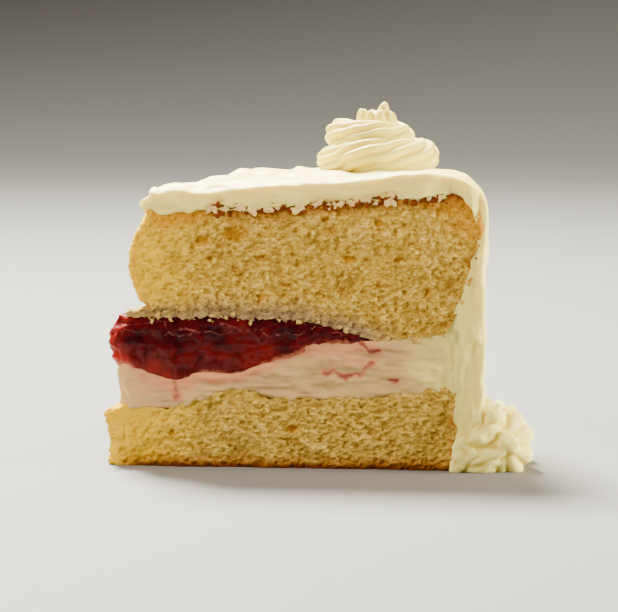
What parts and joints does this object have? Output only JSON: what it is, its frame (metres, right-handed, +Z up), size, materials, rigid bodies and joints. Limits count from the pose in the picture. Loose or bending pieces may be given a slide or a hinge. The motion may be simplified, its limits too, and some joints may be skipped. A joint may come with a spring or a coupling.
{
  "type": "victoria sponge cake slice",
  "caption": "Wedge of iced victoria sponge cake with jam and cream between its sponges, a piped swirl on top and piped shells round the foot.",
  "frame": {"origin": "middle of the bounding box, at the foot that the portion rests on", "axes": "+X from the portion's point towards its iced rim, along the near cut face; +Y from the near cut face to the far one; +Z up"},
  "size_m": [0.1159, 0.0857, 0.0969],
  "materials": {
    "sponge_crumb": "open, matt baked crumb, golden, with a thin brown crust",
    "jam": "wet, glossy, dark red, lumpy",
    "cream": "soft satin, pale butter colour"
  },
  "bodies": {
    "root": {"lower_sponge": "sponge_crumb", "upper_sponge": "sponge_crumb", "jam_filling": "jam", "cream_filling": "cream", "icing": "cream", "piped_swirl": "cream", "piped_border": "cream"}
  },
  "joints": []
}
